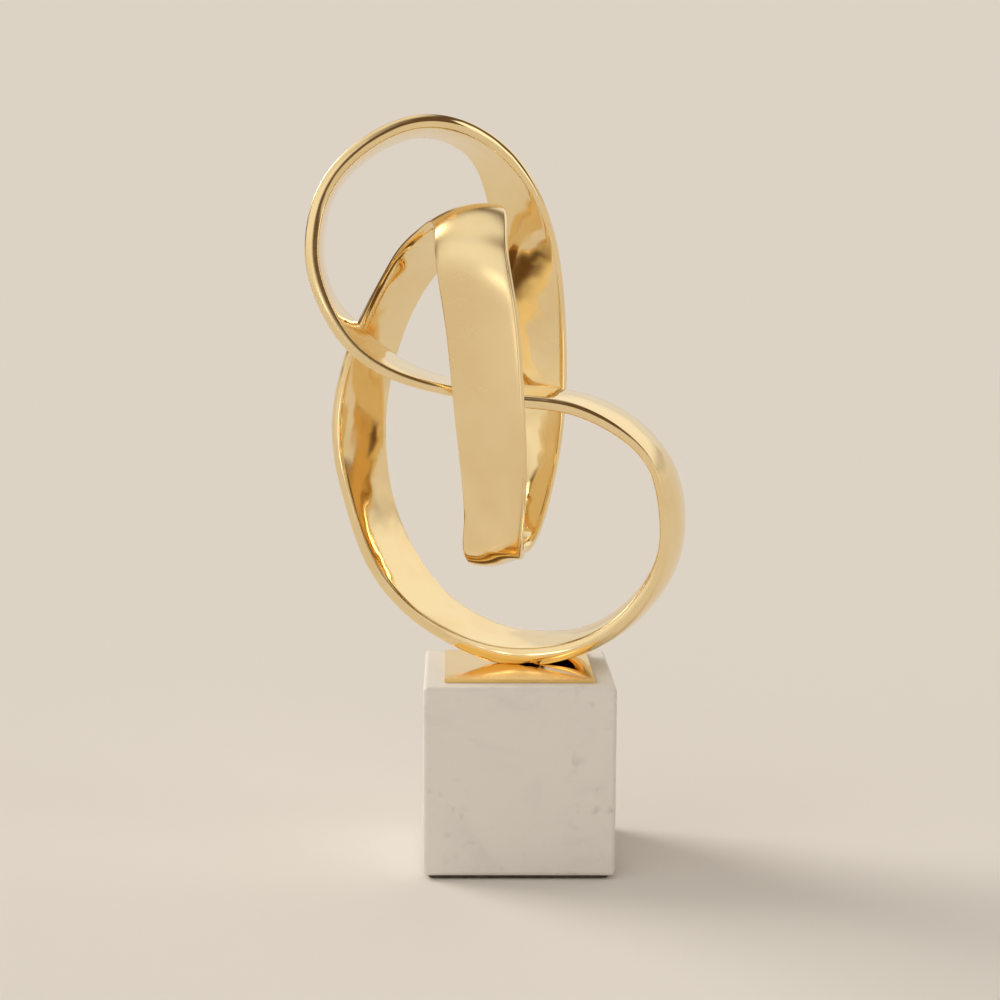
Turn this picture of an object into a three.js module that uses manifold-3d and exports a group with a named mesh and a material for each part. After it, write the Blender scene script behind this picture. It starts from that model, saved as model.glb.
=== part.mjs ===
// Knot sculpture: a polished metal band tied in a trefoil knot. It stands on a thin square
// plate on a marble block, and one threaded rod through the block holds all three together.
// Millimetres, +Z up. The origin is the middle of the underside, and the front faces -Y.
import * as THREE from 'three';
import { RoundedBoxGeometry } from 'three/addons/geometries/RoundedBoxGeometry.js';
import { mergeVertices } from 'three/addons/utils/BufferGeometryUtils.js';
import Module from 'manifold-3d';

const wasm = await Module();
wasm.setup();

// Driving dimensions: the marble block and the felt under it
const BLOCK_SIDE = 100;
const BLOCK_HEIGHT = 100;
const BLOCK_EDGE_RADIUS = 2.5;
const FELT_THICKNESS = 2;
const FELT_INSET = 3;
const FELT_CORNER_RADIUS = 4;

// The plate between the knot and the block
const PLATE_SIDE = 78;
const PLATE_THICKNESS = 2;
const PLATE_EDGE_BEVEL = 0.3;

// The rod stands under the knot's foot, which is set back from the middle of the block
const ROD_DIAMETER = 6;
const ROD_SETBACK = 8;
const ROD_ENTRY = 5.5;
const ROD_TAIL = 3;
const ROD_CHAMFER = 0.8;
const THREAD_CLEARANCE = 0.3;
const ROD_HOLE_CLEARANCE = 1;
const HOLE_END_CLEARANCE = 0.5;

// The recess in the underside of the block, and the fasteners in it
const RECESS_DIAMETER = 36;
const RECESS_DEPTH = 26;
const WIDE_WASHER_DIAMETER = 30;
const WIDE_WASHER_THICKNESS = 1.6;
const SPRING_WASHER_DIAMETER = 11.8;
const SPRING_WASHER_THICKNESS = 1.6;
const SPRING_WASHER_SLIT = 1.2;
const NUT_ACROSS_FLATS = 10;
const NUT_HEIGHT = 5;

// The knot: a flat bar with softened long edges and slightly rounded walls
const KNOT_HEIGHT = 290;
const BAND_WIDTH = 38;
const BAND_THICKNESS = 5.5;
const BAND_EDGE_BEVEL = 0.7;
const BAND_WALL_BULGE = 0.5;
const BAND_FACE_STEPS = 4;
const RINGS_PER_STATION = 5;

// Stations once round the knot, from the foot up the left side. Each gives the middle of the
// band over the plate (x, y, z, in hundredths of the knot's height) and the direction across
// its width. How thick the band is at its edges, and how much each wide face rises above that
// in its middle, are in band thicknesses. A waist is the share that its width loses there.
const STATIONS = [
  // Foot
  { at: [0.7, 6.2, 1.93], across: [0.03, 1, 0.105], thick: 1.8, crown: 0.06 },
  { at: [-7.2, 7.2, 3.95], across: [0.16, 0.97, 0.17], thick: 1.45, crown: 0.07 },
  { at: [-16.2, 8.3, 9.3], across: [0.38, 1, 0.19], thick: 1.2, crown: 0.07 },
  { at: [-23.8, 9, 18.8], across: [0.57, 1, 0.24], thick: 1.1, crown: 0.07 },
  // Left side
  { at: [-27.9, 9.7, 29.8], across: [0.66, 1, 0.08], thick: 1, crown: 0.07 },
  { at: [-29.7, 10.3, 41.5], across: [0.87, 1, -0.09], thick: 1, crown: 0.07 },
  { at: [-28.4, 11, 52.8], across: [0.75, 1, -0.26], thick: 1, crown: 0.07 },
  { at: [-24.8, 10, 63.3], across: [0.56, 1, -0.27], thick: 1, crown: 0.07 },
  { at: [-19, 6.9, 73.3], across: [0.5, 1, -0.3], thick: 1, crown: 0.1 },
  // Front fold
  { at: [-13.1, 0, 79.5], across: [0.85, 0.6, 0.1], thick: 1, crown: 0.55 },
  { at: [-9.5, -8.6, 81.6], across: [0.97, 0.03, 0.2], thick: 1, crown: 0.75, waist: 0.01 },
  { at: [-9.05, -15.3, 75.7], across: [0.95, -0.25, 0.1], thick: 1, crown: 0.5, waist: 0.03 },
  // Front slab
  { at: [-7.25, -16.2, 64.1], across: [0.94, -0.35, 0.09], thick: 1, crown: 0.25 },
  { at: [-6, -16.2, 51], across: [0.9, -0.43, 0.09], thick: 1, crown: 0.2 },
  { at: [-5, -14.5, 37.9], across: [0.87, -0.48, -0.1], thick: 1, crown: 0.2, waist: 0.03 },
  { at: [-4.8, -8.3, 26.6], across: [0.8, -0.5, -0.22], thick: 1, crown: 0.3, waist: 0.1 },
  // Inner turn
  { at: [-4.22, -1.4, 20.8], across: [0.76, -0.58, 0.26], thick: 1, crown: 0.5, waist: 0.16 },
  { at: [-0.95, 5.6, 23.1], across: [0.8, -0.55, 0.12], thick: 1, crown: 0.4, waist: 0.19 },
  // Back rise
  { at: [2.25, 13.2, 36.6], across: [0.84, -0.52, 0.08], thick: 1, crown: 0.15, waist: 0.07 },
  { at: [3.05, 15.6, 51.6], across: [0.9, -0.43, 0], thick: 1, crown: 0.07 },
  { at: [2.65, 15.9, 64.8], across: [0.9, -0.45, 0.05], thick: 1, crown: 0.07 },
  { at: [1.4, 14.8, 76.4], across: [0.8, -0.57, 0.13], thick: 1, crown: 0.07 },
  { at: [-1.6, 12.4, 87.1], across: [0.53, -0.8, 0.2], thick: 1.1, crown: 0.07 },
  // Upper loop
  { at: [-7.1, 9, 94.8], across: [0.18, -0.94, 0.16], thick: 1.2, crown: 0.07 },
  { at: [-16, 4.5, 98.1], across: [0.03, -0.99, 0.1], thick: 1.3, crown: 0.07 },
  { at: [-24.3, 2.1, 96.2], across: [-0.02, -1, 0.06], thick: 1.3, crown: 0.07 },
  { at: [-31.4, 0, 91], across: [-0.02, -1, 0.03], thick: 1.3, crown: 0.07 },
  { at: [-35.7, -1.7, 84], across: [-0.02, -1, 0], thick: 1.3, crown: 0.07 },
  { at: [-36.9, -3.4, 75], across: [-0.02, -1, 0], thick: 1.3, crown: 0.07 },
  { at: [-34.5, -4.8, 66.7], across: [-0.04, -1, -0.01], thick: 1.25, crown: 0.07 },
  { at: [-28.5, -5.2, 59.1], across: [-0.11, -1, -0.14], thick: 1.07, crown: 0.07 },
  // Crossbar
  { at: [-19.8, -4.1, 53.8], across: [-0.035, -1, -0.085], thick: 0.95, crown: 0.07 },
  { at: [-10.5, -2.4, 51.15], across: [-0.02, -1, -0.04], thick: 1.02, crown: 0.08 },
  { at: [-0.9, -1.4, 49.85], across: [-0.05, -1, -0.07], thick: 1.2, crown: 0.15 },
  { at: [8.85, -1, 48.8], across: [-0.09, -1, -0.1], thick: 1.13, crown: 0.25 },
  // Right loop
  { at: [18.35, -0.7, 44.95], across: [-0.22, -1, -0.12], thick: 0.96, crown: 0.35 },
  { at: [25.35, -0.3, 38.1], across: [-0.33, -1, -0.04], thick: 0.75, crown: 0.4 },
  { at: [28.25, 0.3, 28.4], across: [-0.39, -1, 0], thick: 0.8, crown: 0.42 },
  { at: [27.15, 1.4, 18.1], across: [-0.25, -1, 0.21], thick: 1.15, crown: 0.4 },
  { at: [20.3, 2.8, 8.6], across: [-0.05, -1, 0.13], thick: 1.4, crown: 0.42 },
  { at: [10.7, 4.8, 3.1], across: [-0.02, -1, 0.012], thick: 1.55, crown: 0.2 },
];

// Heights that follow from the sizes above
const BLOCK_BASE = FELT_THICKNESS;
const BLOCK_TOP = BLOCK_BASE + BLOCK_HEIGHT;
const SEAT = BLOCK_TOP + PLATE_THICKNESS;
const RECESS_CEILING = BLOCK_BASE + RECESS_DEPTH;
const WIDE_WASHER_BASE = RECESS_CEILING - WIDE_WASHER_THICKNESS;
const SPRING_WASHER_BASE = WIDE_WASHER_BASE - SPRING_WASHER_THICKNESS;
const NUT_BASE = SPRING_WASHER_BASE - NUT_HEIGHT;
const ROD_BASE = NUT_BASE - ROD_TAIL;
const ROD_TOP = SEAT + ROD_ENTRY;
const THREAD_BORE = ROD_DIAMETER + 2 * THREAD_CLEARANCE;
const ROD_HOLE = ROD_DIAMETER + 2 * ROD_HOLE_CLEARANCE;

// How far cutting shapes run past the faces that they open
const CUT_MARGIN = 1;
const ROUND_SIDES = 32;

const gold = () => new THREE.MeshStandardMaterial({ color: 0xe2b65c, metalness: 1, roughness: 0.16 });
const marble = () => new THREE.MeshStandardMaterial({ color: 0xe9e5de, metalness: 0, roughness: 0.3 });
const steel = () => new THREE.MeshStandardMaterial({ color: 0xb4b6b8, metalness: 1, roughness: 0.35 });
const felt = () => new THREE.MeshStandardMaterial({ color: 0x2b2725, metalness: 0, roughness: 0.95 });

// A mesh whose corners are shared, as boolean cuts and a closed skin need
function sealed(geometry) {
  const bare = geometry.clone();
  bare.deleteAttribute('normal');
  bare.deleteAttribute('uv');
  return mergeVertices(bare, 1e-4);
}

function toSolid(geometry) {
  const skin = sealed(geometry);
  return new wasm.Manifold(new wasm.Mesh({
    numProp: 3,
    vertProperties: new Float32Array(skin.attributes.position.array),
    triVerts: new Uint32Array(skin.index.array),
  }));
}

function toGeometry(solid) {
  const mesh = solid.getMesh();
  const geometry = new THREE.BufferGeometry();
  geometry.setAttribute('position', new THREE.BufferAttribute(new Float32Array(mesh.vertProperties), 3));
  geometry.setIndex(new THREE.BufferAttribute(new Uint32Array(mesh.triVerts), 1));
  return geometry;
}

function cut(geometry, ...cutters) {
  let solid = toSolid(geometry);
  for (const cutter of cutters) {
    solid = solid.subtract(toSolid(cutter));
  }
  return toGeometry(solid);
}

// An upright round bar between two heights, on the rod's line
function uprightBar(diameter, low, high) {
  const geometry = new THREE.CylinderGeometry(diameter / 2, diameter / 2, high - low, ROUND_SIDES);
  geometry.rotateX(Math.PI / 2);
  geometry.translate(0, ROD_SETBACK, (low + high) / 2);
  return geometry;
}

// A flat piece cut from a sheet, lying on a height
function flatPiece(outline, thickness, base, bevel = 0) {
  const geometry = new THREE.ExtrudeGeometry(outline, {
    depth: thickness - 2 * bevel,
    bevelEnabled: bevel > 0,
    bevelThickness: bevel,
    bevelSize: bevel,
    bevelOffset: -bevel,
    bevelSegments: 1,
    curveSegments: ROUND_SIDES / 2,
  });
  geometry.translate(0, 0, base + bevel);
  return sealed(geometry);
}

function roundHole(diameter, y = 0) {
  return new THREE.Path().absarc(0, y, diameter / 2, 0, 2 * Math.PI, true);
}

function squareOutline(side, cornerRadius = 0) {
  const half = side / 2;
  const run = half - cornerRadius;
  const shape = new THREE.Shape();
  shape.moveTo(run, -half);
  if (cornerRadius > 0) {
    shape.absarc(run, -run, cornerRadius, -Math.PI / 2, 0);
    shape.absarc(run, run, cornerRadius, 0, Math.PI / 2);
    shape.absarc(-run, run, cornerRadius, Math.PI / 2, Math.PI);
    shape.absarc(-run, -run, cornerRadius, Math.PI, 1.5 * Math.PI);
  } else {
    shape.lineTo(half, half);
    shape.lineTo(-half, half);
    shape.lineTo(-half, -half);
  }
  shape.closePath();
  return shape;
}

// A closed cubic spline through a list of values. With lapSign -1 the value changes sign after
// one lap, as the direction across a one-sided band does.
class ClosedSpline {
  constructor(values, lapSign = 1) {
    this.count = values.length;
    this.lapSign = lapSign;
    this.size = values[0].length;
    this.controls = values.map((value) => [...value]);
    const settlingRounds = 60;
    for (let round = 0; round < settlingRounds; round += 1) {
      for (let i = 0; i < this.count; i += 1) {
        const before = this.control(i - 1);
        const after = this.control(i + 1);
        this.controls[i] = values[i].map((v, k) => (6 * v - before[k] - after[k]) / 4);
      }
    }
  }

  control(index) {
    const sign = index < 0 || index >= this.count ? this.lapSign : 1;
    return this.controls[(index + this.count) % this.count].map((v) => sign * v);
  }

  blend(start, weights) {
    const sum = new Array(this.size).fill(0);
    weights.forEach((weight, j) => {
      this.control(start - 1 + j).forEach((v, k) => { sum[k] += weight * v; });
    });
    return sum;
  }

  value(start, f) {
    const g = 1 - f;
    return this.blend(start, [
      g ** 3 / 6,
      (3 * f ** 3 - 6 * f ** 2 + 4) / 6,
      (-3 * f ** 3 + 3 * f ** 2 + 3 * f + 1) / 6,
      f ** 3 / 6,
    ]);
  }

  slope(start, f) {
    const g = 1 - f;
    return this.blend(start, [
      -(g ** 2) / 2,
      (3 * f ** 2 - 4 * f) / 2,
      (-3 * f ** 2 + 2 * f + 1) / 2,
      f ** 2 / 2,
    ]);
  }
}

// Half of the band's section, [across the width, across the thickness]: one wide face from
// edge to edge and the wall after it. The other half is this one turned half round.
function halfSection(thick, crown, waist) {
  const halfWidth = (BAND_WIDTH * (1 - waist)) / 2;
  const halfThick = (BAND_THICKNESS * thick) / 2;
  const rise = BAND_THICKNESS * crown;
  const faceHalf = halfWidth - BAND_EDGE_BEVEL;
  const points = [];
  for (let i = 0; i <= BAND_FACE_STEPS; i += 1) {
    const part = (2 * i) / BAND_FACE_STEPS - 1;
    points.push([part * faceHalf, halfThick + rise * (1 - part ** 2)]);
  }
  points.push([halfWidth, halfThick - BAND_EDGE_BEVEL]);
  points.push([halfWidth + BAND_WALL_BULGE, 0]);
  points.push([halfWidth, BAND_EDGE_BEVEL - halfThick]);
  return points;
}

// The band: its section is carried along the knot, and after one lap it has made an odd number
// of half turns, so the last ring joins the first with its faces swapped.
function bandSkin() {
  const path = new ClosedSpline(STATIONS.map((s) => s.at.map((v) => (v * KNOT_HEIGHT) / 100)));
  const across = new ClosedSpline(STATIONS.map((s) => s.across), -1);
  const body = new ClosedSpline(STATIONS.map((s) => [s.thick, s.crown, s.waist ?? 0]));
  const positions = [];
  let ringSize = 0;
  let ringCount = 0;
  for (let start = 0; start < STATIONS.length; start += 1) {
    for (let step = 0; step < RINGS_PER_STATION; step += 1) {
      const f = step / RINGS_PER_STATION;
      const middle = new THREE.Vector3(...path.value(start, f));
      const along = new THREE.Vector3(...path.slope(start, f)).normalize();
      const width = new THREE.Vector3(...across.value(start, f));
      width.addScaledVector(along, -width.dot(along)).normalize();
      const normal = new THREE.Vector3().crossVectors(along, width);
      const half = halfSection(...body.value(start, f));
      const ring = [...half, ...half.map(([x, y]) => [-x, -y])];
      for (const [x, y] of ring) {
        const corner = middle.clone().addScaledVector(width, x).addScaledVector(normal, y);
        positions.push(corner.x, corner.y, corner.z + SEAT);
      }
      ringSize = ring.length;
      ringCount += 1;
    }
  }
  const indices = [];
  for (let r = 0; r < ringCount; r += 1) {
    const last = r === ringCount - 1;
    const nextRing = last ? 0 : (r + 1) * ringSize;
    const shift = last ? ringSize / 2 : 0;
    for (let k = 0; k < ringSize; k += 1) {
      const k2 = (k + 1) % ringSize;
      const a = r * ringSize + k;
      const b = r * ringSize + k2;
      const a2 = nextRing + ((k + shift) % ringSize);
      const b2 = nextRing + ((k2 + shift) % ringSize);
      indices.push(a, b2, b, a, a2, b2);
    }
  }
  const geometry = new THREE.BufferGeometry();
  geometry.setAttribute('position', new THREE.BufferAttribute(new Float32Array(positions), 3));
  geometry.setIndex(indices);
  return geometry;
}

// The foot of the band is ground flat where it sits on the plate, and tapped for the rod
function knotBand() {
  const groundDepth = BAND_THICKNESS;
  const grinder = new THREE.BoxGeometry(PLATE_SIDE, PLATE_SIDE, groundDepth);
  grinder.translate(0, 0, SEAT - groundDepth / 2);
  const tapping = uprightBar(THREAD_BORE, SEAT - CUT_MARGIN, ROD_TOP + HOLE_END_CLEARANCE);
  return cut(bandSkin(), grinder, tapping);
}

function mountingPlate() {
  const outline = squareOutline(PLATE_SIDE);
  outline.holes.push(roundHole(ROD_HOLE, ROD_SETBACK));
  return flatPiece(outline, PLATE_THICKNESS, BLOCK_TOP, PLATE_EDGE_BEVEL);
}

function marbleBlock() {
  const block = new RoundedBoxGeometry(BLOCK_SIDE, BLOCK_SIDE, BLOCK_HEIGHT, 2, BLOCK_EDGE_RADIUS);
  block.translate(0, 0, BLOCK_BASE + BLOCK_HEIGHT / 2);
  const hole = uprightBar(ROD_HOLE, RECESS_CEILING - CUT_MARGIN, BLOCK_TOP + CUT_MARGIN);
  const recess = uprightBar(RECESS_DIAMETER, BLOCK_BASE - CUT_MARGIN, RECESS_CEILING);
  return cut(block, hole, recess);
}

function threadedRod() {
  const r = ROD_DIAMETER / 2;
  const profile = [
    [0, ROD_BASE],
    [r - ROD_CHAMFER, ROD_BASE],
    [r, ROD_BASE + ROD_CHAMFER],
    [r, ROD_TOP - ROD_CHAMFER],
    [r - ROD_CHAMFER, ROD_TOP],
    [0, ROD_TOP],
  ].map(([x, y]) => new THREE.Vector2(x, y));
  const geometry = new THREE.LatheGeometry(profile, ROUND_SIDES);
  geometry.rotateX(Math.PI / 2);
  return sealed(geometry);
}

function wideWasher() {
  const outline = new THREE.Shape().absarc(0, 0, WIDE_WASHER_DIAMETER / 2, 0, 2 * Math.PI);
  outline.holes.push(roundHole(THREAD_BORE));
  return flatPiece(outline, WIDE_WASHER_THICKNESS, WIDE_WASHER_BASE);
}

// A ring with a slit, which lets it spring
function springWasher() {
  const outer = SPRING_WASHER_DIAMETER / 2;
  const inner = THREAD_BORE / 2;
  const open = Math.asin(SPRING_WASHER_SLIT / 2 / inner);
  const outline = new THREE.Shape();
  outline.absarc(0, 0, outer, open, 2 * Math.PI - open);
  outline.absarc(0, 0, inner, 2 * Math.PI - open, open, true);
  outline.closePath();
  return flatPiece(outline, SPRING_WASHER_THICKNESS, SPRING_WASHER_BASE);
}

function hexNut() {
  const cornerRadius = NUT_ACROSS_FLATS / Math.sqrt(3);
  const corners = [];
  for (let i = 0; i < 6; i += 1) {
    const angle = (i * Math.PI) / 3;
    corners.push(new THREE.Vector2(cornerRadius * Math.cos(angle), cornerRadius * Math.sin(angle)));
  }
  const outline = new THREE.Shape(corners);
  outline.holes.push(roundHole(THREAD_BORE));
  return flatPiece(outline, NUT_HEIGHT, NUT_BASE);
}

function baseFelt() {
  const outline = squareOutline(BLOCK_SIDE - 2 * FELT_INSET, FELT_CORNER_RADIUS);
  return flatPiece(outline, FELT_THICKNESS, 0);
}

function piece(name, geometry, material) {
  const mesh = new THREE.Mesh(geometry, material);
  mesh.name = name;
  return mesh;
}

// The fasteners share the rod's line
const fasteners = new THREE.Group();
fasteners.add(
  piece('threaded_rod', threadedRod(), steel()),
  piece('wide_washer', wideWasher(), steel()),
  piece('spring_washer', springWasher(), steel()),
  piece('hex_nut', hexNut(), steel()),
);
fasteners.position.y = ROD_SETBACK;

const sculpture = new THREE.Group();
sculpture.add(
  piece('knot_band', knotBand(), gold()),
  piece('mounting_plate', mountingPlate(), gold()),
  piece('marble_block', marbleBlock(), marble()),
  piece('base_felt', baseFelt(), felt()),
  fasteners,
);

export default sculpture;
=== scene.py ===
# Knot sculpture: a polished gold-coloured band tied in a trefoil knot, on a thin plate and a
# white marble block. Metres, +Z up, and the front faces -Y.
from math import cos, pi, radians, sin, tau
import bpy
from mathutils import Matrix, Vector


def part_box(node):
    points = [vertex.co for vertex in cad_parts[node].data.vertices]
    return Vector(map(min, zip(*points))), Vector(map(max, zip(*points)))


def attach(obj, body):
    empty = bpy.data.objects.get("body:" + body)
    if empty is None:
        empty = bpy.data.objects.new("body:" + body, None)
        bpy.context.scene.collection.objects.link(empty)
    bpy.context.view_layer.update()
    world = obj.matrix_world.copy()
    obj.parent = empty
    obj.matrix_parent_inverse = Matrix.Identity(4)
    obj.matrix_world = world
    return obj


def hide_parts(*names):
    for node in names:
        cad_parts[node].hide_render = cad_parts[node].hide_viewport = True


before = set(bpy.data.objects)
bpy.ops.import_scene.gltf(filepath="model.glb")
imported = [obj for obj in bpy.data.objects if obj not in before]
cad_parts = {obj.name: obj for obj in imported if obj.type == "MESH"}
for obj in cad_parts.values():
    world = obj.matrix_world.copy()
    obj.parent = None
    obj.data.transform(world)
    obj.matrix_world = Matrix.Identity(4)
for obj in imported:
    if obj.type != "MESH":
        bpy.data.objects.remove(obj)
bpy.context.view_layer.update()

MM = 0.001

# Sizes of the knot, as the part's source has them
KNOT_HEIGHT = 290 * MM
BAND_WIDTH = 38 * MM
BAND_THICKNESS = 5.5 * MM
BAND_EDGE_ROUND = 0.8 * MM
# How far the band's narrow walls swell, as a share of half their height
WALL_SWELL = 0.26

# Holes for the rod, and the recess for its fasteners
ROD_SETBACK = 8 * MM
ROD_HOLE = 8 * MM
RECESS_DIAMETER = 36 * MM
RECESS_DEPTH = 26 * MM
# How far cutting shapes run past the faces that they open
CUT_MARGIN = 1 * MM

# Rounded edges of the square pieces, and the felt's upright corners
PLATE_EDGE_ROUND = 0.3 * MM
BLOCK_EDGE_ROUND = 2.5 * MM
FELT_EDGE_ROUND = 0.4 * MM
FELT_CORNER_RADIUS = 4 * MM
# Edges that turn by more than this are rounded
SHARP_EDGE = radians(30)

# Stations once round the knot, from the foot up the left side: the middle of the band in
# hundredths of the knot's height, the direction across it, its thickness and the rise of its
# wide faces in band thicknesses, and the share that its width loses.
STATIONS = [
    ((0.7, 6.2, 1.93), (0.03, 1, 0.105), 1.8, 0.06, 0),
    ((-7.2, 7.2, 3.95), (0.16, 0.97, 0.17), 1.45, 0.07, 0),
    ((-16.2, 8.3, 9.3), (0.38, 1, 0.19), 1.2, 0.07, 0),
    ((-23.8, 9, 18.8), (0.57, 1, 0.24), 1.1, 0.07, 0),
    ((-27.9, 9.7, 29.8), (0.66, 1, 0.08), 1, 0.07, 0),
    ((-29.7, 10.3, 41.5), (0.87, 1, -0.09), 1, 0.07, 0),
    ((-28.4, 11, 52.8), (0.75, 1, -0.26), 1, 0.07, 0),
    ((-24.8, 10, 63.3), (0.56, 1, -0.27), 1, 0.07, 0),
    ((-19, 6.9, 73.3), (0.5, 1, -0.3), 1, 0.1, 0),
    ((-13.1, 0, 79.5), (0.85, 0.6, 0.1), 1, 0.55, 0),
    ((-9.5, -8.6, 81.6), (0.97, 0.03, 0.2), 1, 0.75, 0.01),
    ((-9.05, -15.3, 75.7), (0.95, -0.25, 0.1), 1, 0.5, 0.03),
    ((-7.25, -16.2, 64.1), (0.94, -0.35, 0.09), 1, 0.25, 0),
    ((-6, -16.2, 51), (0.9, -0.43, 0.09), 1, 0.2, 0),
    ((-5, -14.5, 37.9), (0.87, -0.48, -0.1), 1, 0.2, 0.03),
    ((-4.8, -8.3, 26.6), (0.8, -0.5, -0.22), 1, 0.3, 0.1),
    ((-4.22, -1.4, 20.8), (0.76, -0.58, 0.26), 1, 0.5, 0.16),
    ((-0.95, 5.6, 23.1), (0.8, -0.55, 0.12), 1, 0.4, 0.19),
    ((2.25, 13.2, 36.6), (0.84, -0.52, 0.08), 1, 0.15, 0.07),
    ((3.05, 15.6, 51.6), (0.9, -0.43, 0), 1, 0.07, 0),
    ((2.65, 15.9, 64.8), (0.9, -0.45, 0.05), 1, 0.07, 0),
    ((1.4, 14.8, 76.4), (0.8, -0.57, 0.13), 1, 0.07, 0),
    ((-1.6, 12.4, 87.1), (0.53, -0.8, 0.2), 1.1, 0.07, 0),
    ((-7.1, 9, 94.8), (0.18, -0.94, 0.16), 1.2, 0.07, 0),
    ((-16, 4.5, 98.1), (0.03, -0.99, 0.1), 1.3, 0.07, 0),
    ((-24.3, 2.1, 96.2), (-0.02, -1, 0.06), 1.3, 0.07, 0),
    ((-31.4, 0, 91), (-0.02, -1, 0.03), 1.3, 0.07, 0),
    ((-35.7, -1.7, 84), (-0.02, -1, 0), 1.3, 0.07, 0),
    ((-36.9, -3.4, 75), (-0.02, -1, 0), 1.3, 0.07, 0),
    ((-34.5, -4.8, 66.7), (-0.04, -1, -0.01), 1.25, 0.07, 0),
    ((-28.5, -5.2, 59.1), (-0.11, -1, -0.14), 1.07, 0.07, 0),
    ((-19.8, -4.1, 53.8), (-0.035, -1, -0.085), 0.95, 0.07, 0),
    ((-10.5, -2.4, 51.15), (-0.02, -1, -0.04), 1.02, 0.08, 0),
    ((-0.9, -1.4, 49.85), (-0.05, -1, -0.07), 1.2, 0.15, 0),
    ((8.85, -1, 48.8), (-0.09, -1, -0.1), 1.13, 0.25, 0),
    ((18.35, -0.7, 44.95), (-0.22, -1, -0.12), 0.96, 0.35, 0),
    ((25.35, -0.3, 38.1), (-0.33, -1, -0.04), 0.75, 0.4, 0),
    ((28.25, 0.3, 28.4), (-0.39, -1, 0), 0.8, 0.42, 0),
    ((27.15, 1.4, 18.1), (-0.25, -1, 0.21), 1.15, 0.4, 0),
    ((20.3, 2.8, 8.6), (-0.05, -1, 0.13), 1.4, 0.42, 0),
    ((10.7, 4.8, 3.1), (-0.02, -1, 0.012), 1.55, 0.2, 0),
]

# The finishes. The band turns from polished to satin between two distances in front of the
# object's middle.
GOLD = (0.94, 0.76, 0.44)
PLATE_GOLD = (0.93, 0.66, 0.26)
SATIN_FROM = 18 * MM
SATIN_FULL_AT = 40 * MM

# How finely the shapes are drawn
RINGS_PER_STATION = 14
FACE_STEPS = 16
ROUND_STEPS = 4
WALL_STEPS = 6
CORNER_STEPS = 10
HOLE_SIDES = 48
FLOOR_SIDES = 64

# The camera, found from the corners of the block in the photograph
CAMERA_PLACE = Vector((-0.034, -1.107, 0.333))
CAMERA_YAW = radians(1.24)
CAMERA_PITCH = radians(7.22)
CAMERA_ROLL = radians(0.4)
CAMERA_LENS = 75.6

# The studio: a pale floor that meets a pale horizon, and a dim warm room above it. The two
# heights are those of a direction of length 1.
FLOOR = (0.80, 0.775, 0.74, 1.0)
PALE = (0.722, 0.649, 0.558, 1.0)
ROOM = (0.13, 0.08, 0.045, 1.0)
PALE_UP_TO = 0.12
ROOM_FROM = 0.22
LAMP_WHITE = (1.0, 0.95, 0.87, 1.0)

FLOOR_RADIUS = 12.0
FLOOR_FADES_FROM = 1.5
FLOOR_GONE_AT = 6.0

# Softboxes, far off all round: direction, half width, half height and soft rim as slopes seen
# from the object, and brightness
SOFTBOXES = [
    ((-0.70, 0.44, 0.56), 0.30, 0.25, 0.12, 7.8),
    ((-0.50, -0.72, 0.48), 0.72, 0.42, 0.25, 0.95),
    ((-0.25, -0.10, 0.96), 0.60, 0.60, 0.30, 0.9),
    ((0.50, 0.70, 0.50), 0.80, 0.34, 0.18, 1.0),
    ((0.00, 0.95, 0.28), 0.60, 0.12, 0.06, 0.8),
    ((0.90, -0.38, 0.30), 0.14, 0.42, 0.08, 1.4),
    ((-0.28, -0.95, 0.07), 0.06, 0.07, 0.05, 3.0),
]
# The least that a direction counts as ahead of a softbox. It makes the slopes of directions
# that face away so large that the softbox doesn't show there again.
LEAST_AHEAD = 0.001


class Wire:
    """A node's output, which sums can use like a number. Each sum adds a Math node."""

    def __init__(self, shade, socket):
        self.shade = shade
        self.socket = socket

    def __add__(self, other):
        return self.shade.math("ADD", self, other)

    def __radd__(self, other):
        return self.shade.math("ADD", other, self)

    def __rsub__(self, other):
        return self.shade.math("SUBTRACT", other, self)

    def __mul__(self, other):
        return self.shade.math("MULTIPLY", self, other)

    def __rmul__(self, other):
        return self.shade.math("MULTIPLY", other, self)

    def __truediv__(self, other):
        return self.shade.math("DIVIDE", self, other)

    def __abs__(self):
        return self.shade.math("ABSOLUTE", self)


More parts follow.
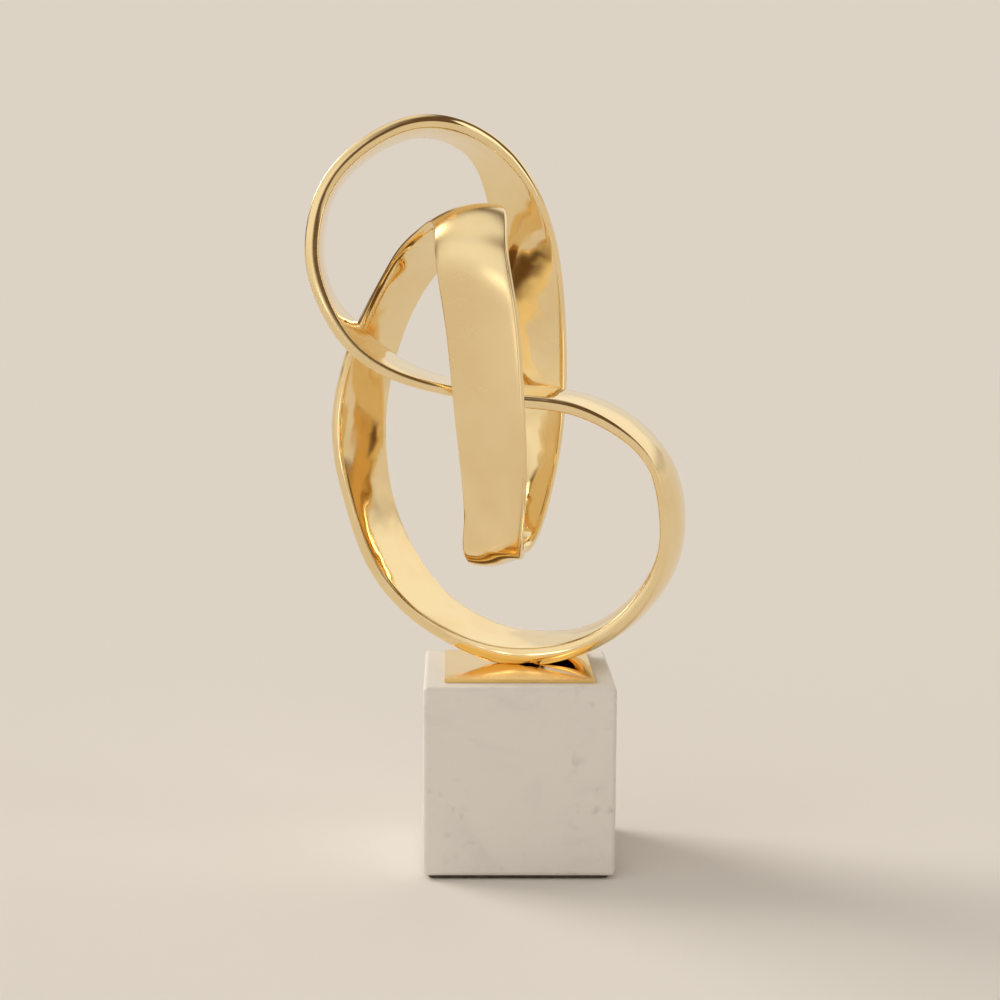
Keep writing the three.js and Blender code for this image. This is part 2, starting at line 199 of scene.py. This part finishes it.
class Shade:
    """The nodes of a material or of the world. Constants go on the shader's own sockets."""

    def __init__(self, owner):
        owner.use_nodes = True
        self.owner = owner
        self.tree = owner.node_tree
        self.tree.nodes.clear()

    def node(self, kind, settings=None, sockets=None, output=0):
        """Adds a node: its settings first, then its sockets' values or wires."""
        new = self.tree.nodes.new("ShaderNode" + kind)
        for key, value in (settings or {}).items():
            setattr(new, key, value)
        for key, value in (sockets or {}).items():
            if isinstance(value, Wire):
                self.tree.links.new(value.socket, new.inputs[key])
            else:
                new.inputs[key].default_value = value
        return Wire(self, new.outputs[output]) if new.outputs else None

    def math(self, operation, *values):
        return self.node("Math", {"operation": operation}, dict(enumerate(values)))

    def place(self):
        """Positions on the piece, in metres."""
        return self.node("TexCoord", output="Object")

    def forward(self):
        """How far in front of the object's middle, in metres."""
        return self.along(self.place(), (0, -1, 0))

    def noise(self, scale, detail=2.0, roughness=0.5, stretch=None, distortion=0.0):
        """Soft random spots, about scale of them in a metre, from 0 to 1."""
        where = self.place()
        if stretch:
            where = self.node("Mapping", sockets={"Vector": where, "Scale": stretch})
        return self.node("TexNoise", sockets={
            "Vector": where, "Scale": scale, "Detail": detail,
            "Roughness": roughness, "Distortion": distortion})

    def ramp(self, value, low, high):
        """0 below low, 1 above high and smooth between them."""
        return self.node("MapRange", {"interpolation_type": "SMOOTHSTEP"}, {
            "Value": value, "From Min": low, "From Max": high})

    def mix(self, share, first, second):
        """One colour turning into another as the share goes from 0 to 1."""
        # Sockets 6 and 7 and output 2 are those that the node has for colours
        return self.node("Mix", {"data_type": "RGBA"}, {0: share, 6: first, 7: second}, 2)

    def along(self, direction, axis):
        """How much of a direction points along an axis."""
        return self.node(
            "VectorMath", {"operation": "DOT_PRODUCT"}, {0: direction, 1: axis}, "Value")

    def bump(self, height, distance):
        """Relief on the surface. The distance is in metres."""
        return self.node("Bump", sockets={"Height": height, "Distance": distance})

    def surface(self, shader):
        """Wires the shader to the output, and returns the material or the world."""
        world = isinstance(self.owner, bpy.types.World)
        self.node("OutputWorld" if world else "OutputMaterial", sockets={"Surface": shader})
        return self.owner

    def principled(self, **sockets):
        """A whole material. The names of sockets have _ in place of their spaces."""
        named = {key.replace("_", " "): value for key, value in sockets.items()}
        return self.surface(self.node("BsdfPrincipled", sockets=named))


def new_shade(name):
    return Shade(bpy.data.materials.new(name))


def polished_gold(name, colour, roughness, wave_height):
    """Hand-polished gold-coloured metal: faint waves from the wheel, fine haze and wiping marks.
    What stands out in front, the slab and its fold, is satin."""
    shade = new_shade(name)
    haze = shade.noise(34, 3, 0.55)
    wipes = shade.noise(45, 2, 0.5, stretch=(1.0, 1.0, 3.0))
    marks = shade.ramp(wipes, 0.4, 0.8)
    satin = shade.ramp(shade.forward(), SATIN_FROM, SATIN_FULL_AT)
    rough = roughness + 0.04 * shade.ramp(haze, 0.4, 0.7) + 0.025 * marks + 0.17 * satin
    red, green, blue = colour
    deeper = (0.97 * red, 0.93 * green, 0.86 * blue, 1.0)
    tone = shade.mix(shade.ramp(haze, 0.35, 0.75), colour + (1.0,), deeper)
    waves = shade.noise(26, 1, 0.4) + shade.noise(64, 1, 0.4) * (1 - satin) * 0.35
    relief = shade.bump(waves, wave_height)
    return shade.principled(Base_Color=tone, Metallic=1.0, Roughness=rough, Normal=relief)


def white_marble():
    """Honed white marble: grey clouds, warm drifts, faint veins and small dark spots."""
    shade = new_shade("honed_marble")
    drift = shade.noise(7, 4, 0.6, distortion=0.7)
    clouds = shade.noise(14, 5, 0.62, stretch=(1.0, 0.8, 1.5), distortion=1.1)
    specks = shade.noise(420, 2, 0.5)
    spots = shade.ramp(shade.noise(120, 2, 0.5), 0.57, 0.74) * shade.ramp(drift, 0.4, 0.6)
    wander = shade.node("TexNoise", sockets={
        "Vector": shade.place(), "Scale": 9.0, "Detail": 3.0}, output=1)
    shift = shade.node("VectorMath", {"operation": "SCALE"}, {0: wander, "Scale": 0.06})
    warped = shade.node("VectorMath", {"operation": "ADD"}, {0: shade.place(), 1: shift})
    cracks = shade.node("TexVoronoi", {"feature": "DISTANCE_TO_EDGE"}, {
        "Vector": warped, "Scale": 11.0})
    veins = (1 - shade.ramp(cracks, 0.0, 0.05)) * shade.ramp(drift, 0.5, 0.72)
    white = (0.86, 0.835, 0.79, 1.0)
    grey = (0.66, 0.645, 0.625, 1.0)
    warm = (0.79, 0.73, 0.65, 1.0)
    body = shade.mix(shade.ramp(clouds, 0.45, 0.8) * 0.6, white, grey)
    body = shade.mix(shade.ramp(drift, 0.5, 0.8) * 0.45, body, warm)
    body = shade.mix(veins * 0.35 + spots * 0.45, body, (0.50, 0.48, 0.44, 1.0))
    body = shade.mix(shade.ramp(specks, 0.6, 0.75) * 0.1, body, grey)
    relief = shade.bump(specks, 0.00002)
    return shade.principled(
        Base_Color=body, Roughness=0.34 + 0.1 * clouds, Normal=relief, IOR=1.5)


def dark_felt():
    """Pressed wool felt: matted fibres in two brown tones."""
    shade = new_shade("dark_felt")
    fibres = shade.noise(2600, 3, 0.7)
    mats = shade.noise(260, 3, 0.6)
    dark = (0.07, 0.052, 0.038, 1.0)
    light = (0.11, 0.085, 0.062, 1.0)
    tone = shade.mix(shade.ramp(mats, 0.35, 0.7), dark, light)
    relief = shade.bump(fibres + mats, 0.0003)
    return shade.principled(Base_Color=tone, Roughness=0.95, Normal=relief, Sheen_Weight=0.3)


def zinc_plate():
    """Zinc-plated steel: fine spangle, and the traces of turning."""
    shade = new_shade("zinc_plated_steel")
    spangle = shade.noise(500, 3, 0.6)
    turned = shade.noise(900, 2, 0.5, stretch=(0.2, 0.2, 3.0))
    cold = (0.56, 0.56, 0.57, 1.0)
    warm = (0.68, 0.67, 0.65, 1.0)
    tone = shade.mix(shade.ramp(spangle, 0.4, 0.65), cold, warm)
    rough = 0.28 + 0.12 * spangle
    relief = shade.bump(turned, 0.00001)
    return shade.principled(Base_Color=tone, Metallic=1.0, Roughness=rough, Normal=relief)


def spline_controls(values, lap_sign=1):
    """Control values of a closed cubic spline through the values given. With a lap sign of -1
    the values change sign after each lap."""
    count = len(values)
    controls = [list(value) for value in values]
    settling_rounds = 60
    for _ in range(settling_rounds):
        for i in range(count):
            before, after = (
                [(lap_sign if wraps else 1) * v for v in controls[j % count]]
                for j, wraps in ((i - 1, i == 0), (i + 1, i == count - 1)))
            controls[i] = [(6 * v - a - b) / 4 for v, a, b in zip(values[i], before, after)]
    return controls


def on_spline(controls, start, part, lap_sign=1, slope=False):
    """The spline's value, or its slope, part of the way from one station to the next."""
    rest = 1 - part
    if slope:
        weights = (-rest**2 / 2, (3 * part**2 - 4 * part) / 2,
                   (-3 * part**2 + 2 * part + 1) / 2, part**2 / 2)
    else:
        weights = (rest**3 / 6, (3 * part**3 - 6 * part**2 + 4) / 6,
                   (-3 * part**3 + 3 * part**2 + 3 * part + 1) / 6, part**3 / 6)
    total = [0.0] * len(controls[0])
    for j, weight in enumerate(weights):
        index = start - 1 + j
        wraps = index < 0 or index >= len(controls)
        sign = lap_sign if wraps else 1
        for k, v in enumerate(controls[index % len(controls)]):
            total[k] += weight * sign * v
    return total


def half_section(thick, crown, waist):
    """One wide face and the wall after it: (across the width, across the thickness). The other
    half is the same turned by half a turn."""
    half_width = BAND_WIDTH * (1 - waist) / 2
    half_thick = BAND_THICKNESS * thick / 2
    rise = BAND_THICKNESS * crown
    face = half_width - BAND_EDGE_ROUND
    wall = half_thick - BAND_EDGE_ROUND
    points = []
    for i in range(FACE_STEPS + 1):
        x = 2 * i / FACE_STEPS - 1
        points.append((x * face, half_thick + rise * (1 - x * x)))
    face_slope = 2 * rise / face
    wall_slope = 2 * WALL_SWELL
    reach = BAND_EDGE_ROUND * (1 - wall_slope) / (1 - wall_slope * face_slope)
    corner = (face + reach, half_thick - face_slope * reach)

    def rounding(start, end, pull):
        for i in range(1, ROUND_STEPS):
            t = i / ROUND_STEPS
            a, b, c = (1 - t) ** 2, 2 * t * (1 - t), t**2
            points.append(tuple(a * s + b * p + c * e for s, p, e in zip(start, pull, end)))

    rounding((face, half_thick), (half_width, wall), corner)
    for i in range(WALL_STEPS + 1):
        y = 1 - 2 * i / WALL_STEPS
        points.append((half_width + WALL_SWELL * wall * (1 - y * y), y * wall))
    rounding((half_width, -wall), (face, -half_thick), (corner[0], -corner[1]))
    return points


def knot_band(seat):
    """The band, with its foot ground flat on the height of the seat."""
    path = spline_controls([[v * KNOT_HEIGHT / 100 for v in s[0]] for s in STATIONS])
    across = spline_controls([s[1] for s in STATIONS], -1)
    body = spline_controls([s[2:] for s in STATIONS])
    points = []
    rings = 0
    for start in range(len(STATIONS)):
        for step in range(RINGS_PER_STATION):
            part = step / RINGS_PER_STATION
            middle = Vector(on_spline(path, start, part)) + Vector((0, 0, seat))
            along = Vector(on_spline(path, start, part, slope=True)).normalized()
            width = Vector(on_spline(across, start, part, -1))
            width = (width - width.dot(along) * along).normalized()
            normal = along.cross(width)
            half = half_section(*on_spline(body, start, part))
            ring = half + [(-x, -y) for x, y in half]
            for x, y in ring:
                point = middle + x * width + y * normal
                point.z = max(point.z, seat)
                points.append(point)
            rings += 1
    size = len(ring)
    faces = []
    for r in range(rings):
        last = r == rings - 1
        onward = 0 if last else (r + 1) * size
        shift = size // 2 if last else 0
        for k in range(size):
            following = (k + 1) % size
            faces.append((
                r * size + k, onward + (k + shift) % size,
                onward + (following + shift) % size, r * size + following))
    return mesh_piece("polished_knot_band", points, faces)


def mesh_piece(name, points, faces, smooth=True):
    mesh = bpy.data.meshes.new(name)
    mesh.from_pydata(points, [], faces)
    mesh.validate()
    piece = bpy.data.objects.new(name, mesh)
    bpy.context.scene.collection.objects.link(piece)
    for polygon in mesh.polygons:
        polygon.use_smooth = smooth
    return piece


def dress(piece, material, node):
    """Gives a piece its material and slot, and lets it stand for a CAD node."""
    piece.data.materials.clear()
    piece.data.materials.append(material)
    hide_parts(node)
    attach(piece, "root")


def lofted(name, rings):
    """A closed skin over rings of points that all have the same count."""
    size = len(rings[0])
    points = [point for ring in rings for point in ring]
    faces = []
    for r in range(len(rings) - 1):
        for k in range(size):
            j = (k + 1) % size
            faces.append((r * size + k, r * size + j, (r + 1) * size + j, (r + 1) * size + k))
    faces.append(tuple(reversed(range(size))))
    faces.append(tuple(range((len(rings) - 1) * size, len(rings) * size)))
    return mesh_piece(name, points, faces)


def arc(cx, cy, radius, start, turn, steps):
    """Points on an arc, its two ends among them."""
    angles = [start + turn * i / steps for i in range(steps + 1)]
    return [(cx + radius * cos(a), cy + radius * sin(a)) for a in angles]


def soften(piece, width, segments):
    """Rounds the piece's sharp edges."""
    rounding = piece.modifiers.new("rounded_edges", "BEVEL")
    rounding.width = width
    rounding.segments = segments
    rounding.limit_method = "ANGLE"
    rounding.angle_limit = SHARP_EDGE
    rounding.harden_normals = True


def bore(piece, diameter, low, high):
    """Cuts an upright round hole on the rod's axis."""
    outline = arc(0, ROD_SETBACK, diameter / 2, 0, tau, HOLE_SIDES)[:-1]
    cutter = lofted("cutter", [[(x, y, z) for x, y in outline] for z in (low, high)])
    cut = piece.modifiers.new("hole", "BOOLEAN")
    cut.object = cutter
    cut.solver = "EXACT"
    settled = piece.evaluated_get(bpy.context.evaluated_depsgraph_get())
    piece.data = bpy.data.meshes.new_from_object(settled)
    piece.modifiers.clear()
    bpy.data.objects.remove(cutter)


def slab(name, node, corner_radius=0):
    """A square slab that fills a CAD node's box, with rounded upright corners if asked."""
    low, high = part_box(node)
    run = (high[0] - low[0]) / 2 - corner_radius
    outline = []
    for quarter, (cx, cy) in enumerate(((1, -1), (1, 1), (-1, 1), (-1, -1))):
        if corner_radius:
            start = (quarter - 1) * pi / 2
            outline += arc(cx * run, cy * run, corner_radius, start, pi / 2, CORNER_STEPS)
        else:
            outline.append((cx * run, cy * run))
    return lofted(name, [[(x, y, z) for x, y in outline] for z in (low[2], high[2])])


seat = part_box("knot_band")[0][2]
band = knot_band(seat)
band_finish = polished_gold("polished_gold", GOLD, roughness=0.06, wave_height=1.1 * MM)
dress(band, band_finish, "knot_band")

plate = slab("gold_plate", "mounting_plate")
soften(plate, PLATE_EDGE_ROUND, segments=3)
plate_low, plate_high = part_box("mounting_plate")
bore(plate, ROD_HOLE, plate_low[2] - CUT_MARGIN, plate_high[2] + CUT_MARGIN)
plate_finish = polished_gold("polished_plate", PLATE_GOLD, roughness=0.05, wave_height=0.1 * MM)
dress(plate, plate_finish, "mounting_plate")

block = slab("white_marble_block", "marble_block")
soften(block, BLOCK_EDGE_ROUND, segments=8)
block_low, block_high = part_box("marble_block")
bore(block, ROD_HOLE, block_low[2] - CUT_MARGIN, block_high[2] + CUT_MARGIN)
bore(block, RECESS_DIAMETER, block_low[2] - CUT_MARGIN, block_low[2] + RECESS_DEPTH)
dress(block, white_marble(), "marble_block")

pad = slab("felt_pad", "base_felt", FELT_CORNER_RADIUS)
soften(pad, FELT_EDGE_ROUND, segments=2)
dress(pad, dark_felt(), "base_felt")

zinc = zinc_plate()
for node in ("threaded_rod", "wide_washer", "spring_washer", "hex_nut"):
    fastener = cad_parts[node]
    fastener.data.materials.clear()
    fastener.data.materials.append(zinc)


def add_camera():
    camera = bpy.data.objects.new("camera", bpy.data.cameras.new("camera"))
    bpy.context.scene.collection.objects.link(camera)
    camera.data.lens = CAMERA_LENS
    yaw = Matrix.Rotation(-CAMERA_YAW, 4, "Z")
    pitch = Matrix.Rotation(pi / 2 - CAMERA_PITCH, 4, "X")
    roll = Matrix.Rotation(CAMERA_ROLL, 4, "Z")
    camera.matrix_world = Matrix.Translation(CAMERA_PLACE) @ yaw @ pitch @ roll
    bpy.context.scene.camera = camera


def add_floor():
    """A wide pale floor. Far from the object it turns into the pale horizon."""
    corners = [(x, y, 0) for x, y in arc(0, 0, FLOOR_RADIUS, 0, tau, FLOOR_SIDES)[:-1]]
    floor = mesh_piece("studio_floor", corners, [tuple(range(len(corners)))], smooth=False)
    shade = new_shade("pale_floor")
    distance = shade.node("VectorMath", {"operation": "LENGTH"}, {0: shade.place()}, "Value")
    near = shade.node("BsdfDiffuse", sockets={"Color": FLOOR})
    far = shade.node("Emission", sockets={"Color": PALE, "Strength": 1.0})
    fade = shade.ramp(distance, FLOOR_FADES_FROM, FLOOR_GONE_AT)
    blend = shade.node("MixShader", sockets={0: fade, 1: near, 2: far})
    floor.data.materials.append(shade.surface(blend))


def add_world():
    """A pale backdrop at the horizon, which metal shows too. Metal and light also see a dim room
    and softboxes with soft rims above it, where the camera still sees the backdrop."""
    world = bpy.data.worlds.new("studio")
    bpy.context.scene.world = world
    shade = Shade(world)
    facing = shade.node("TexCoord", output="Generated")
    height = shade.along(facing, (0, 0, 1))
    colour = shade.mix(shade.ramp(height, PALE_UP_TO, ROOM_FROM), PALE, ROOM)
    strength = 1.0
    for direction, half_width, half_height, rim, brightness in SOFTBOXES:
        middle = Vector(direction).normalized()
        across = Vector((0, 0, 1)).cross(middle).normalized()
        ahead = shade.math("MAXIMUM", shade.along(facing, middle), LEAST_AHEAD)
        share = 1.0
        for axis, half in ((across, half_width), (middle.cross(across), half_height)):
            off = abs(shade.along(facing, axis) / ahead)
            share = share * (1 - shade.ramp(off, half - rim, half + rim))
        colour = shade.mix(share, colour, LAMP_WHITE)
        strength = strength + share * (brightness - 1)
    seen = shade.node("LightPath", output="Is Camera Ray")
    colour = shade.mix(seen, colour, PALE)
    strength = seen + (1 - seen) * strength
    shade.surface(shade.node("Background", sockets={"Color": colour, "Strength": strength}))


add_camera()
add_world()
add_floor()

view = bpy.context.scene.view_settings
view.view_transform = "Standard"
